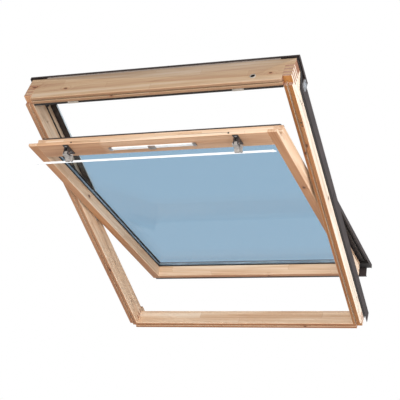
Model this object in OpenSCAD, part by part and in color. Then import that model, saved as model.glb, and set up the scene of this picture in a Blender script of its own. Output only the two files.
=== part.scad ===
// Centre-pivot roof window in pine, drawn as installed in a pitched roof.
// x runs to the right seen from the room. The drawing is made upright
// (y out through the roof, z up the slope) and then laid back to the roof
// pitch, so that +z of the finished part is straight up.
// The origin is the middle of the lower face of the bottom rail.

/* [Roof and pose] */
// pitch of the roof slope, degrees
roof_pitch = 41; // [15:1:75]
// how far the sash stands open, degrees
sash_open = 19.5; // [0:0.5:90]
// how far the control bar is turned, degrees
bar_turn = 0; // [-40:1:2]

/* [Frame] */
// outside width of the frame
frame_width = 780; // [550:1:1340]
// outside height of the frame, up the slope
frame_height = 980; // [700:1:1800]
// width of a jamb seen from the room
jamb_face = 25; // [20:0.5:40]
// width of a rail seen from the room
rail_face = 22; // [18:0.5:36]
// depth of the frame timber
frame_depth = 72; // [60:1:100]
// depth of the plain inner face before the upper rebate
face_depth = 52; // [44:1:58]
// width of the timber taken away by the rebate
rebate_width = 7; // [5:0.5:9]
// how far the corner joints lie behind the room-side face
corner_set = 12; // [8:0.5:15]
// thickness of one finger of the corner joint
finger = 6.5; // [5:0.25:7]
// length of the fingers seen on the sides
finger_length = 38; // [30:1:60]
// width of the lining groove
groove_width = 4; // [3:0.5:6]
// depth of the lining groove
groove_depth = 11; // [6:0.5:12]
// distance of the lining groove from the opening
groove_offset = 9; // [7:0.5:11]
// small bevel on the sharp edges of the timber
bevel = 1.5; // [0.5:0.1:2.5]
// depth of the lower rail where the sash passes over it
sill_depth = 53; // [44:1:54]
// full depth of the lower rail
sill_outer = 60; // [56:1:66]
// thickness of the lower rail under the sash
sill_thick = 8; // [6:1:14]

/* [Sash] */
// clear gap between sash and jamb on each side
side_gap = 7; // [6:0.5:10]
// clear gap between sash and upper rail
top_gap = 11; // [9:0.5:16]
// clear gap between sash and lower rail
bottom_gap = 3; // [2.5:0.5:6]
// how far the closed sash lies behind the room-side face of the frame
sash_set = 33; // [30:0.5:40]
// depth of the sash timber
sash_depth = 44; // [40:1:50]
// width of a sash stile seen from the room
stile_face = 26; // [22:0.5:40]
// height of the upper sash rail seen from the room
sash_top_face = 66; // [50:1:90]
// height of the lower sash rail seen from the room
sash_bottom_face = 23; // [20:1:50]
// thickness of the raised front layer of the upper rail
front_layer = 9; // [7:0.5:12]
// how far the front layer rises above the body
front_rise = 42; // [25:1:46]
// depth of the timber in front of the glass
glass_set = 33; // [28:0.5:36]
// width of the outer ledge beside the glass
ledge = 11; // [9:0.5:14]
// width of one finger of the sash corner joint
sash_finger = 6; // [4:0.5:8]

/* [Glass] */
// thickness of one pane
pane = 4; // [3:0.5:6]
// gap between the panes
pane_gap = 8; // [6:1:16]
// clearance round the edge of the glass
glass_clear = 3; // [2:0.5:5]
// thickness of the glazing gasket
gasket = 3; // [2:0.5:4]
// how far the glazing gasket shows past the timber
gasket_lip = 2; // [1:0.5:3]
// width of the spacer between the panes
spacer = 5; // [4:0.5:10]

/* [Pivot] */
// depth of the pivot line behind the room-side face
pivot_depth = 86; // [80:1:92]
// radius of the pivot pin
pin_r = 4; // [3:0.5:5]
// running clearance of the pin in the sash plate, on the radius
pin_clear = 0.05; // [0.02:0.01:0.1]
// thickness of the pivot plates
plate = 3; // [2:0.5:3.5]
// radius of the rounded end of the pivot plates
plate_r = 12; // [9:0.5:14]
// half height of the pivot plates
plate_half = 30; // [24:1:34]

/* [Metal covers] */
// thickness of the cover sheet
sheet = 1.2; // [0.8:0.1:2]
// thickness of the seal between timber and side cover
side_seal = 3; // [2:0.5:5]
// level of the side covers behind the room-side face
cover_level = 85; // [82:0.5:87]
// where the side covers begin on the outer side of the jamb
cover_start = 49; // [44:1:60]
// how far the upper covers reach in over the opening
cover_reach = 16; // [10:1:18]
// height of the hood above the side covers
hood_rise = 9; // [8:1:20]
// how far the hood reaches down over the sash
hood_reach = 92; // [76:1:120]
// how far the side covers run past the lower edge
cover_tail = 26; // [12:1:40]
// depth at which the lower edge of the sash cover starts
skirt_depth = 52; // [50:1:70]
// how far the lower edge of the sash cover reaches past the frame
skirt_drop = 28; // [24:1:36]

/* [Control bar and lock] */
// half the length of the control bar
bar_half = 338; // [200:1:345]
// place of the two bar brackets from the middle
bracket_x = 245; // [140:1:300]
// width of a bar bracket
bracket_width = 15; // [12:1:24]
// radius of the bar pins
bar_pin_r = 3; // [2:0.5:4]
// side play of the bar arm in its bracket
arm_play = 0.35; // [0.3:0.05:0.8]
// half the length of the lock strip
strip_half = 117; // [80:1:150]
// height of the lock strip
strip_height = 12; // [8:1:20]

/* [Fastenings] */
// radius of the holes that fix the frame in the roof
fix_r = 2.6; // [2:0.1:4]
// distance of the fixing holes from the middle of the jamb
fix_z = 380; // [250:5:430]
// radius of the cable bore in the upper rail
cable_r = 6; // [4:0.5:8]
// place of the cable bore from the middle
cable_x = 283.5; // [100:0.5:330]
// depth of the cable bore behind the room-side face
cable_y = 21; // [18:0.5:30]
// shank radius of the small screws
screw_r = 1.75; // [1.2:0.05:2.5]

/* [Hidden] */
$fn = 48;
eps = 0.01;
hw = frame_width / 2;
hh = frame_height / 2;
ow = hw - jamb_face;                 // half width of the opening
oh = hh - rail_face;                 // half height of the opening
sw = ow - side_gap;                  // half width of the sash
st = oh - top_gap;                   // top of the front layer of the sash
sb = -(oh - bottom_gap);             // bottom of the sash
y0 = sash_set;                       // room-side face of the sash
y1 = sash_set + sash_depth;          // outer face of the sash timber
yg = sash_set + glass_set;           // where the glass rebate starts
bt = st - front_rise;                // top of the body of the sash
gx = sw - stile_face;                // half width of the clear glass
gt = st - sash_top_face;             // top of the clear glass
gb = sb + sash_bottom_face;          // bottom of the clear glass
rx = sw - ledge;                     // half width of the glass rebate
rt = bt - ledge + 1;                 // top of the glass rebate
rb = sb + ledge - 2;                 // bottom of the glass rebate
yp = yg + gasket;                    // inner face of the inner pane
yo = yp + 2 * pane + pane_gap;       // outer face of the outer pane
ct = cover_level + sheet;            // top of the side covers
cx = hw + side_seal;                 // inner side of the side covers
px = ow - plate;                     // inner face of the frame pivot plate
upper_depth = cover_level;            // depth of the timber above the pivot
half_up = 20;                        // where the upper covers begin
cover_top = hh - 67;                 // where the side covers meet the hood
seal_drop = 7;                       // how far the seal hangs under the rail
seal_high = 4;                       // depth of the groove for the seal under the sash
seal_y = y0 + 17;                    // front of that groove
seal_wide = 8;                       // width of that groove
splay = 6;                           // fall of the lower rail towards the room
skirt_top = hh + 20;                 // upper side of the lower edge of the sash cover
clip_x = 241;                        // seal clips from the middle
clip_w = 32;                         // width of a seal clip
bar_pin_y = y0 - 17;                 // pin line of the control bar
bar_pin_z = st - 19;
web_z = bar_pin_z - 15;              // top of the bar web
strip_z = st - 36;                   // middle of the lock strip
strip_y = y0 - 3;                    // front of the lock strip
nose_y = y0 - 36;                    // front of the control bar
nose_z = web_z - 2;                  // top of the control bar
wood = [0.86, 0.66, 0.44];
wood2 = [0.82, 0.60, 0.38];
metal = [0.32, 0.30, 0.31];
black = [0.06, 0.06, 0.06];
steel = [0.72, 0.73, 0.75];
white = [0.93, 0.94, 0.95];

// ---- placing ----
module place() rotate([90 - roof_pitch, 0, 0]) translate([0, -frame_depth / 2, hh]) children();
module on_sash() place() translate([0, pivot_depth, 0]) rotate([sash_open, 0, 0])
  translate([0, -pivot_depth, 0]) children();
module on_bar() on_sash() translate([0, bar_pin_y, bar_pin_z]) rotate([bar_turn, 0, 0])
  translate([0, -bar_pin_y, -bar_pin_z]) children();
// a section drawn as (depth, height), run along x
module along_x(from, to) translate([from, 0, 0]) rotate([90, 0, 90])
  linear_extrude(to - from) children();
// a section drawn as (x, depth), run up the slope
module along_z(from, to) translate([0, 0, from]) linear_extrude(to - from) children();
module box(a, b) translate(a) cube([b[0] - a[0], b[1] - a[1], b[2] - a[2]]);
module rect(a, b) translate(a) square([b[0] - a[0], b[1] - a[1]]);
module side(s) if (s < 0) mirror([1, 0, 0]) children(); else children();
module x_rod(x, y, z, r, len) translate([x, y, z]) rotate([0, 90, 0])
  cylinder(r = r, h = len);

// ---- frame timber ----
// where a finger of a rail starts and ends, as depths; the fourth ends with the timber
function f_lo(k) = corner_set + (2 * k - 1) * finger;
function f_hi(k) = k == 4 ? upper_depth : f_lo(k) + finger;
module fingers(ks, zs) for (s = [-1, 1], k = ks)
  box([s < 0 ? -hw : ow, f_lo(k), zs[0]], [s < 0 ? -ow : hw, f_hi(k), zs[1]]);

module frame_top_rail() color(wood) place() difference() {
  union() {
    along_x(-ow, ow) polygon([[bevel, hh], [upper_depth, hh],
      [upper_depth, hh - finger_length - 2], [face_depth, hh - finger_length - 2],
      [face_depth, oh], [bevel, oh], [0, oh + bevel],
      [0, oh + groove_offset], [groove_depth, oh + groove_offset],
      [groove_depth, oh + groove_offset + groove_width],
      [0, oh + groove_offset + groove_width], [0, hh - bevel]]);
    fingers([1, 2, 3, 4], [hh - finger_length, hh]);
  }
  translate([cable_x, cable_y, oh - 1]) cylinder(r = cable_r, h = rail_face + 2);
}

module frame_bottom_rail() color(wood) place() union() {
  along_x(-ow, ow) polygon([[bevel, -hh], [0, -hh + bevel],
    [0, -oh - groove_offset - groove_width], [groove_depth, -oh - groove_offset - groove_width],
    [groove_depth, -oh - groove_offset], [0, -oh - groove_offset], [0, -oh - bevel],
    [bevel, -oh], [sill_depth, -oh], [sill_depth, -hh + sill_thick],
    [sill_outer, -hh + sill_thick], [sill_outer, -hh]]);
  for (s = [-1, 1]) side(s) along_x(ow - eps, ow + groove_offset) difference() {
    polygon([[bevel, -hh], [0, -hh + bevel], [0, -oh - bevel], [bevel, -oh],
      [corner_set, -oh], [corner_set, -hh]]);
    rect([-1, -oh - groove_offset - groove_width], [groove_depth, -oh - groove_offset]);
  }
  fingers([1, 2, 3], [-hh, -hh + finger_length]);
}

module jamb(s) difference() {
  side(s) union() {
    along_z(-hh, hh) polygon([[ow + bevel, 0], [ow + groove_offset, 0],
      [ow + groove_offset, groove_depth], [ow + groove_offset + groove_width, groove_depth],
      [ow + groove_offset + groove_width, 0], [hw - bevel, 0], [hw, bevel],
      [hw, frame_depth], [ow, frame_depth], [ow, bevel]]);
    box([ow, frame_depth - 5, half_up], [hw, upper_depth, hh]);
  }
  side(s) {
    for (z = [oh, -hh - 1]) box([ow - 1, -1, z], [hw + 1, corner_set, z + rail_face + 1]);
    box([ow - 1, face_depth, plate_half + 10],
      [ow + rebate_width, upper_depth + 1, hh - finger_length - 2]);
    box([ow - 1, frame_depth - 10, -oh + 2],
      [ow + rebate_width, frame_depth + 1, -plate_half - 10]);
    for (k = [1, 2, 3, 4])
      box([ow - 1, f_lo(k), hh - finger_length], [hw + 1, f_hi(k) + (k == 4 ? 1 : 0), hh + 1]);
    for (k = [1, 2, 3])
      box([ow - 1, f_lo(k), -hh - 1], [hw + 1, f_hi(k), -hh + finger_length]);
    for (z = [-fix_z, fix_z]) x_rod(ow - 1, 30, z, fix_r, jamb_face + 2);
    for (y = plate_screw_y, z = plate_screw_z) x_rod(ow - 1, y, z, screw_r, 17);
    for (z = cover_screw_z) translate([hw - 6, cover_foot(z) - 14, z])
      rotate([-90, 0, 0]) cylinder(r = screw_r, h = 15);
    for (z = [342, 330]) translate([hw - 6, -1, z * hh / 490]) rotate([-90, 0, 0])
      cylinder(r = 1.5, h = 12);
    translate([ow + 8, corner_set - 1, hh - 26 * rail_face / 22 + 6]) rotate([-90, 0, 0])
      cylinder(r = 1.5, h = 9);
  }
}
module frame_left_jamb() color(wood2) place() jamb(-1);
module frame_right_jamb() color(wood2) place() jamb(1);

// ---- frame seals and small parts ----
module frame_gasket(s) place() side(s) along_z(plate_half + 14, hh - finger_length - 4)
  union() {
    rect([ow - 3.2, face_depth], [ow + 3, face_depth + 2]);
    rect([ow + 1, face_depth + 2], [ow + 3, face_depth + 8]);
    translate([ow - 3.2, face_depth + 1]) circle(r = 1, $fn = 24);
  }
module gasket_corner(s) place() side(s)
  box([ow - 2.5, face_depth + 8, hh - finger_length - 42],
    [ow + rebate_width, face_depth + 24, hh - finger_length - 4]);
module frame_gasket_left() color(black) { frame_gasket(-1); gasket_corner(-1); }
module frame_gasket_right() color(black) { frame_gasket(1); gasket_corner(1); }

module frame_top_seal() color(black) place() along_x(-ow + 2, ow - 2) union() {
  rect([bevel, oh - 3], [6, oh]);
  rect([bevel + 0.5, oh - seal_drop], [4.5, oh - 3]);
}
module seal_clips() color(steel) place() for (s = [-1, 1])
  box([s * clip_x - clip_w / 2, bevel - 1.2, oh - seal_drop + 0.3],
    [s * clip_x + clip_w / 2, bevel, oh]);
module latch_keep() color(steel) place() difference() {
  box([-24, 10, oh - 2], [24, 30, oh]);
  for (x = [-17, 17]) translate([x, 20, oh - 3]) cylinder(r = screw_r, h = 4);
  box([-7, 14, oh - 3], [7, 26, oh + 1]);
}
module cable_grommet() color(steel) place() translate([cable_x, cable_y, hh])
  rotate_extrude() translate([cable_r, 0]) polygon([[0, 0], [2.4, 0], [1.6, 1.6], [0, 1.6]]);

// ---- metal covers on the frame ----
module side_seal_strip(s) place() side(s) along_x(hw, cx)
  polygon([[cover_start - 8, -hh + 4], [cover_start + 5, -hh + 4],
    [cover_start + 5, cover_top - 9], [hood_top - 6, cover_top + 17],
    [hood_top - 6, hh - 1], [cover_level - 5, hh - 1], [cover_level - 5, cover_top + 23],
    [cover_start - 8, cover_top - 2]]);
module side_seal_left() color(black) side_seal_strip(-1);
module side_seal_right() color(black) side_seal_strip(1);

module upper_cover(s) place() difference() {
  side(s) along_z(half_up, cover_top) union() {
    rect([cx, cover_start], [cx + sheet, ct]);
    rect([ow - cover_reach, cover_level], [cx + sheet, ct]);
    rect([ow - cover_reach, cover_level - 4], [ow - cover_reach + sheet, ct]);
  }
  side(s) for (z = cover_screw_z) if (z > 0) cover_hole(z);
}
module lower_cover(s) place() difference() {
  side(s) along_z(-hh - cover_tail, half_up - 2) union() {
    rect([cx, cover_start], [cx + sheet, ct]);
    rect([hw - 10, frame_depth], [cx + sheet, frame_depth + sheet]);
  }
  side(s) {
    for (z = cover_screw_z) if (z < 0) cover_hole(z);
    box([hw - 11, frame_depth - 1, -hh - cover_tail - 1], [cx, frame_depth + sheet + 1, -hh]);
  }
}
// level of the timber under a cover screw
function cover_foot(z) = z > 0 ? cover_level : frame_depth;
module cover_hole(z) translate([hw - 6, cover_foot(z) - 1, z])
  rotate([-90, 0, 0]) cylinder(r = screw_r, h = sheet + 2);
cover_screw_z = [-hh + 60, -hh * 0.55, -60, 60, hh * 0.5, hh - hood_reach - 13];
module upper_cover_left() color(metal) upper_cover(-1);
module upper_cover_right() color(metal) upper_cover(1);
module lower_cover_left() color(metal) lower_cover(-1);
module lower_cover_right() color(metal) lower_cover(1);
module cover_screws() color(steel) place() for (s = [-1, 1]) side(s) for (z = cover_screw_z)
  translate([hw - 6, cover_foot(z) + sheet, z]) rotate([90, 0, 0]) union() {
    cylinder(r = screw_r, h = 12);
    translate([0, 0, -1.6]) cylinder(r1 = 2.4, r2 = 3.2, h = 1.6);
  }

hood_x = cx + sheet + 1.8;
hood_top = ct + hood_rise;
module top_hood() color(metal) place() union() {
  box([-hood_x - sheet, hood_top - sheet, hh - hood_reach],
    [hood_x + sheet, hood_top, hh + 1 + sheet]);
  box([-hood_x - sheet, hood_top - 5, hh + 1], [hood_x + sheet, hood_top, hh + 1 + sheet]);
  box([-ow + cover_reach, ct + 2, hh - hood_reach],
    [ow - cover_reach, hood_top, hh - hood_reach + sheet]);
  for (s = [-1, 1]) side(s)
    box([ow - cover_reach, ct, hh - hood_reach],
      [hood_x + sheet, hood_top, hh - hood_reach + sheet]);
  for (s = [-1, 1]) side(s)
    box([hood_x, ct, hh - hood_reach], [hood_x + sheet, hood_top, hh + 1 + sheet]);
}
module hood_block() color(black) place()
  box([-ow + 20, upper_depth, hh - 34], [ow - 20, hood_top - sheet, hh - 2]);
module hood_ends() color([0.55, 0.55, 0.57]) place() for (s = [-1, 1]) side(s) difference() {
  box([cx + sheet, cover_level - 26, cover_top - 24], [cx + sheet + 4, cover_level - 3, cover_top - 2]);
  box([cx + sheet + 1.5, cover_level - 24, cover_top - 22],
    [cx + sheet + 5, cover_level - 5, cover_top - 4]);
}
module sill_cover() color(metal) place()
  box([-ow + 0.5, sill_outer, -hh], [ow - 0.5, sill_outer + sheet, -hh + sill_thick]);

// ---- pivot ----
plate_screw_y = [frame_depth - 26, frame_depth - 10];
plate_screw_z = [-20, 20];
module plate_shape(low, high, r) union() {
  rect([low, -plate_half], [high, plate_half]);
  polygon([[high, -plate_half + 6], [pivot_depth, -r],
    [pivot_depth, r], [high, plate_half - 6]]);
  translate([pivot_depth, 0]) circle(r = r);
}
module pivot_plate(s) place() side(s) difference() {
  along_x(px, ow) plate_shape(frame_depth - 32, frame_depth - 2, plate_r - 1);
  x_rod(px - 1, pivot_depth, 0, pin_r, plate + 2);
  for (y = plate_screw_y, z = plate_screw_z) {
    x_rod(px - 1, y, z, screw_r, plate + 2);
    x_rod(px - 1, y, z, 3.4, 2.6);
  }
}
module pivot_plate_left() color(steel) pivot_plate(-1);
module pivot_plate_right() color(steel) pivot_plate(1);
pin_in = sw - 5.5;
module pivot_pins() color(steel) place() for (s = [-1, 1]) side(s) union() {
  x_rod(pin_in, pivot_depth, 0, pin_r, ow - pin_in);
  x_rod(pin_in - 3, pivot_depth, 0, pin_r + 2.6, 3);
}
module frame_plate_screws() color(steel) place() for (s = [-1, 1]) side(s)
  for (y = plate_screw_y, z = plate_screw_z) union() {
    x_rod(px + 0.1, y, z, 3.4, 1.5);
    x_rod(px + 1.6, y, z, screw_r, plate + 12);
  }
sash_screw_y = [y0 + 17, y0 + 33];
module sash_plate(s) on_sash() side(s) difference() {
  along_x(sw, sw + plate) plate_shape(y0 + 11, y1 - 7, plate_r);
  x_rod(sw - 1, pivot_depth, 0, pin_r + pin_clear, plate + 2);
  for (y = sash_screw_y, z = plate_screw_z) {
    x_rod(sw - 1, y, z, screw_r, plate + 2);
    x_rod(sw + plate - 1.6, y, z, 3.4, 2);
  }
}
module sash_plate_left() color(steel) sash_plate(-1);
module sash_plate_right() color(steel) sash_plate(1);
module sash_plate_screws() color(steel) on_sash() for (s = [-1, 1]) side(s)
  for (y = sash_screw_y, z = plate_screw_z) union() {
    x_rod(sw + plate - 1.6, y, z, 3.4, 1.5);
    x_rod(sw - 10, y, z, screw_r, plate + 8.4);
  }

// ---- sash timber ----
function s_lo(k) = y0 + front_layer + 3 + (2 * k - 2) * sash_finger;
module sash_fingers(zs) for (s = [-1, 1]) side(s) for (k = [1, 2])
  box([gx, s_lo(k), zs[0]], [sw, s_lo(k) + sash_finger, zs[1]]);
module sash_top_rail() color(wood) on_sash() difference() {
  union() {
    along_x(-gx, gx) polygon([[y0, gt + bevel], [y0, st - bevel], [y0 + bevel, st],
      [y0 + front_layer, st], [y0 + front_layer, bt], [y1, bt], [y1, rt], [yg, rt],
      [yg, gt], [y0 + bevel, gt]]);
    sash_fingers([gt, bt]);
  }
  for (x = [-227, 227]) translate([x * sw / 358, y0 + 5, st - 8]) cylinder(r = 1.5, h = 9);
  for (x = [-bracket_x, bracket_x], z = bracket_screw_z)
    translate([x, y0 - 1, z]) rotate([-90, 0, 0]) cylinder(r = screw_r, h = 9);
}
module sash_bottom_rail() color(wood) on_sash() union() {
  along_x(-gx, gx) polygon([[y0, gb - splay - bevel], [y0 + bevel, gb - splay], [yg, gb],
    [yg, rb], [y1, rb], [y1, sb], [seal_y + seal_wide, sb], [seal_y + seal_wide, sb + seal_high],
    [seal_y, sb + seal_high], [seal_y, sb], [y0 + bevel, sb], [y0, sb + bevel]]);
  sash_fingers([sb + seal_high, gb - splay]);
}
module stile(s) on_sash() side(s) difference() {
  union() {
    along_z(sb, bt) polygon([[gx, y0 + bevel], [gx + bevel, y0], [sw - bevel, y0],
      [sw, y0 + bevel], [sw, y1], [rx, y1], [rx, yg], [gx, yg]]);
    along_z(bt - eps, st) polygon([[gx, y0], [sw - bevel, y0], [sw, y0 + bevel],
      [sw, y0 + front_layer], [gx, y0 + front_layer]]);
    box([gx, yg, rt], [rx, y1, bt]);
    box([gx, yg, sb], [rx, y1, rb]);
  }
  for (k = [1, 2]) {
    box([gx - 1, s_lo(k), gt], [sw + 1, s_lo(k) + sash_finger, bt + 1]);
    box([gx - 1, s_lo(k), sb + seal_high], [sw + 1, s_lo(k) + sash_finger, gb - splay]);
  }
  for (y = sash_screw_y, z = plate_screw_z) x_rod(sw - 10, y, z, screw_r, 11);
  x_rod(sw - 10, y0 + front_layer / 2, st - 27, 1.6, 11);
  box([sw - 3.5, y1 - 9, sb - 1], [sw + 1, y1 - 6, -plate_half - 12]);
}
module sash_left_stile() color(wood2) stile(-1);
module sash_right_stile() color(wood2) stile(1);

// ---- glass ----
module glazing_gasket() color(black) on_sash() difference() {
  box([-rx + 1, yg, rb + 1], [rx - 1, yp, rt - 1]);
  box([-gx + gasket_lip, yg - 1, gb + gasket_lip], [gx - gasket_lip, yp + 1, gt - gasket_lip]);
}
gl_a = [-rx + glass_clear, rb + glass_clear];
gl_b = [rx - glass_clear, rt - glass_clear];
module sheet_of_glass(y) box([gl_a[0], y, gl_a[1]], [gl_b[0], y + pane, gl_b[1]]);
module glass_inner() color([0.7, 0.85, 0.9, 0.35]) on_sash() sheet_of_glass(yp);
module glass_outer() color([0.7, 0.85, 0.9, 0.35]) on_sash()
  sheet_of_glass(yp + pane + pane_gap);
module glass_spacer() color(steel) on_sash() difference() {
  box([gl_a[0] + 4, yp + pane, gl_a[1] + 4], [gl_b[0] - 4, yp + pane + pane_gap, gl_b[1] - 4]);
  box([gl_a[0] + 4 + spacer, yp, gl_a[1] + 4 + spacer],
    [gl_b[0] - 4 - spacer, yo, gl_b[1] - 4 - spacer]);
}
module bead(s) on_sash() side(s) along_z(rb, rt - 0.1) union() {
  rect([gx - 1, yo], [rx + sheet, yo + sheet]);
  rect([rx, y1], [rx + sheet, yo + sheet]);
  rect([rx, y1], [sw - 1, y1 + sheet]);
}
module bead_left() color(metal) bead(-1);
module bead_right() color(metal) bead(1);

// ---- covers on the sash ----
module sash_top_cover() color(metal) on_sash() union() {
  along_x(-gx + 1.1, gx - 1.1) rect([yo, gt - 3], [yo + sheet, rt + sheet]);
  along_x(-rx, rx) rect([y1, rt], [yo + sheet, rt + sheet]);
  along_x(-sw, sw) rect([y1, rt], [y1 + sheet, bt - 2]);
}
module sash_bottom_cover() color(metal) on_sash() union() {
  along_x(-gx + 1.1, gx - 1.1) rect([yo, rb - 0.1], [yo + sheet, rb + 9]);
  along_x(-rx - 2.5, rx + 2.5) rect([yo, sb - 5], [yo + sheet, rb]);
  along_x(-sw + 1, sw - 1) union() {
    rect([y1, sb - 5], [y1 + sheet, rb - 3]);
    rect([sill_depth + 3, sb - 5 - sheet], [y1 + sheet, sb - 5]);
  }
  along_x(-rx - 2.5, rx + 2.5) union() {
    rect([y1 + sheet / 2, sb - 5 - sheet], [yo + sheet, sb - 5]);
    rect([yo, -skirt_top - sheet / 2], [yo + sheet, sb - 5 - sheet / 2]);
  }
  along_x(-hw + 19, hw - 19) union() {
    rect([skirt_depth, -skirt_top - sheet], [yo + sheet, -skirt_top]);
    rect([skirt_depth, -hh - skirt_drop], [skirt_depth + sheet, -skirt_top]);
  }
}
sc_x = hw - 3;                       // outer leg of the sash side cover
sc_y = ct + 1.6;                     // underside of the sash side cover
module sash_cover(s) on_sash() side(s) along_z(-skirt_top + 4, -26) union() {
  rect([rx + 3, y1 + sheet], [rx + 3 + sheet, sc_y]);
  rect([rx + 3, sc_y], [sc_x + sheet, sc_y + sheet]);
  rect([sc_x, frame_depth + 4], [sc_x + sheet, sc_y]);
}
module sash_cover_left() color(metal) sash_cover(-1);
module sash_cover_right() color(metal) sash_cover(1);
module sash_side_seals() color(black) on_sash() for (s = [-1, 1]) side(s)
  along_z(sb + 5, -plate_half - 4) rect([ow + 4, sc_y - 6], [ow + 9, sc_y]);
module sash_end_blocks() color(black) on_sash() for (s = [-1, 1]) side(s)
  box([rx + 4.5, y1 + sheet + 0.2, -skirt_top + 2], [sc_x - 0.2, sc_y - 0.2, sb - 6.5]);
module sash_bottom_seal() color(black) on_sash() union() {
  box([-gx, seal_y, sb - 2], [gx, seal_y + seal_wide, sb + seal_high]);
}

// ---- lock ----
module lock_strip() color(white) on_sash() along_x(-strip_half, strip_half) difference() {
  polygon([[y0, strip_z - strip_height / 2], [strip_y + 1, strip_z - strip_height / 2],
    [strip_y, strip_z - strip_height / 2 + 1], [strip_y, strip_z + strip_height / 2 - 1],
    [strip_y + 1, strip_z + strip_height / 2], [y0, strip_z + strip_height / 2]]);
  rect([strip_y - 1, strip_z - 1.5], [strip_y + 1.5, strip_z + 1.5]);
}
module lock_clips() color(steel) on_sash() for (s = [-1, 1]) side(s) difference() {
  box([strip_half, strip_y - 1, strip_z - 7], [strip_half + 9, y0, strip_z + 7]);
  translate([strip_half + 5, strip_y - 3, strip_z]) rotate([-90, 0, 0])
    cylinder(r = 2, h = 3);
}
module lock_case() color(steel) on_sash() difference() {
  union() {
    box([-10, strip_y - 3, strip_z - 7.5], [10, strip_y, strip_z + 7.5]);
    translate([0, strip_y - 3, strip_z]) rotate([90, 0, 0]) cylinder(r = 4.5, h = 1.5);
  }
  box([-0.8, strip_y - 5, strip_z - 3], [0.8, strip_y - 3.5, strip_z + 3]);
}

// ---- control bar ----
bracket_screw_z = [st - 36, st - 7];
ear = 3;
ear_r = 6;
module bracket(x) on_sash() difference() {
  union() {
    box([x - bracket_width / 2, y0 - 3, bar_pin_z - 30],
      [x + bracket_width / 2, y0, st - 2]);
    for (a = [x - bracket_width / 2, x + bracket_width / 2 - ear]) along_x(a, a + ear) union() {
      translate([bar_pin_y, bar_pin_z]) circle(r = ear_r);
      rect([bar_pin_y, bar_pin_z - ear_r], [y0 - 3, bar_pin_z + ear_r]);
    }
  }
  x_rod(x - bracket_width, bar_pin_y, bar_pin_z, bar_pin_r, 2 * bracket_width);
  for (z = bracket_screw_z) translate([x, y0 - 4, z]) rotate([-90, 0, 0])
    cylinder(r = screw_r, h = 5);
}
module bar_bracket_left() color(steel) bracket(-bracket_x);
module bar_bracket_right() color(steel) bracket(bracket_x);
module bracket_screws() color(steel) on_sash()
  for (x = [-bracket_x, bracket_x], z = bracket_screw_z)
    translate([x, y0 - 3, z]) rotate([-90, 0, 0]) union() {
      cylinder(r = screw_r, h = 10);
      translate([0, 0, -1.5]) cylinder(r1 = 2.2, r2 = 3, h = 1.5);
    }
module bar_pins() color(steel) on_sash() for (x = [-bracket_x, bracket_x]) union() {
  x_rod(x - bracket_width / 2 - 1, bar_pin_y, bar_pin_z, bar_pin_r, bracket_width + 2);
  x_rod(x - bracket_width / 2 - 2, bar_pin_y, bar_pin_z, bar_pin_r + 1.2, 2);
}
arm_half = bracket_width / 2 - ear - arm_play;
strap = bracket_width / 2 - 0.5;     // half width of the strap in front of the bracket
arm_z = nose_z + 3;                  // underside of the arm, on the feet
module arm(x) on_bar() translate([x, 0, 0]) difference() {
  union() {
    x_rod(-arm_half, bar_pin_y, bar_pin_z, ear_r, 2 * arm_half);
    along_x(-arm_half, arm_half) polygon([[bar_pin_y - 8, bar_pin_z + 4],
      [bar_pin_y, bar_pin_z + 4], [bar_pin_y + 1.5, arm_z], [nose_y + 4, arm_z]]);
    along_x(-strap, strap) polygon([[bar_pin_y - 9.2, bar_pin_z + 9],
      [bar_pin_y - 6.7, bar_pin_z + 9], [bar_pin_y - 6.7, bar_pin_z - 4],
      [nose_y + 4, arm_z], [nose_y + 0.5, arm_z], [bar_pin_y - 9.2, bar_pin_z - 5]]);
    translate([0, bar_pin_y + 1.5, 0]) rotate([90, 0, 0]) linear_extrude(3)
      polygon([[-arm_half, bar_pin_z - 7], [arm_half, bar_pin_z - 7],
        [strap + 7, arm_z + 3], [strap + 7, arm_z], [-arm_half, arm_z]]);
    box([-arm_half, nose_y + 1, arm_z], [strap + 7, bar_pin_y + 1.5, arm_z + 1.5]);
  }
  x_rod(-arm_half - 1, bar_pin_y, bar_pin_z, bar_pin_r + pin_clear, 2 * arm_half + 2);
}
// black blocks between the arm and the top of the bar
module bar_feet() color(black) on_bar() for (x = [-bracket_x, bracket_x])
  for (f = [[-strap, strap - 2], [strap + 2, strap + 7]])
    box([x + f[0], nose_y + 1, nose_z], [x + f[1], nose_y + 5, arm_z]);
module bar_arm_left() color([0.2, 0.2, 0.21]) arm(-bracket_x);
module bar_arm_right() color([0.2, 0.2, 0.21]) arm(bracket_x);
// the bar is a narrow nose with a thin blade behind it, seen edge-on from the room
module bar_section(e) union() {
  polygon([[nose_y - e, nose_z - 3 - e], [nose_y - e, nose_z - 0.8 + e],
    [nose_y + 0.8 - e, nose_z + e], [nose_y + 5 + e, nose_z + e],
    [nose_y + 5 + e, nose_z - 3 - e]]);
  polygon([[nose_y + 1.5 - e, nose_z - 2.5], [nose_y + 4.5 + e, nose_z - 2.5],
    [nose_y + 14 + e, nose_z - 22.5], [nose_y + 13, nose_z - 23 - e],
    [nose_y + 11.5 - e, nose_z - 22.5]]);
}
module control_bar() color(white) on_bar() along_x(-bar_half, bar_half) bar_section(0);
module bar_end_caps() color([0.8, 0.81, 0.83]) on_bar() for (s = [-1, 1]) side(s)
  along_x(bar_half, bar_half + 4) bar_section(0.6);

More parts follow.
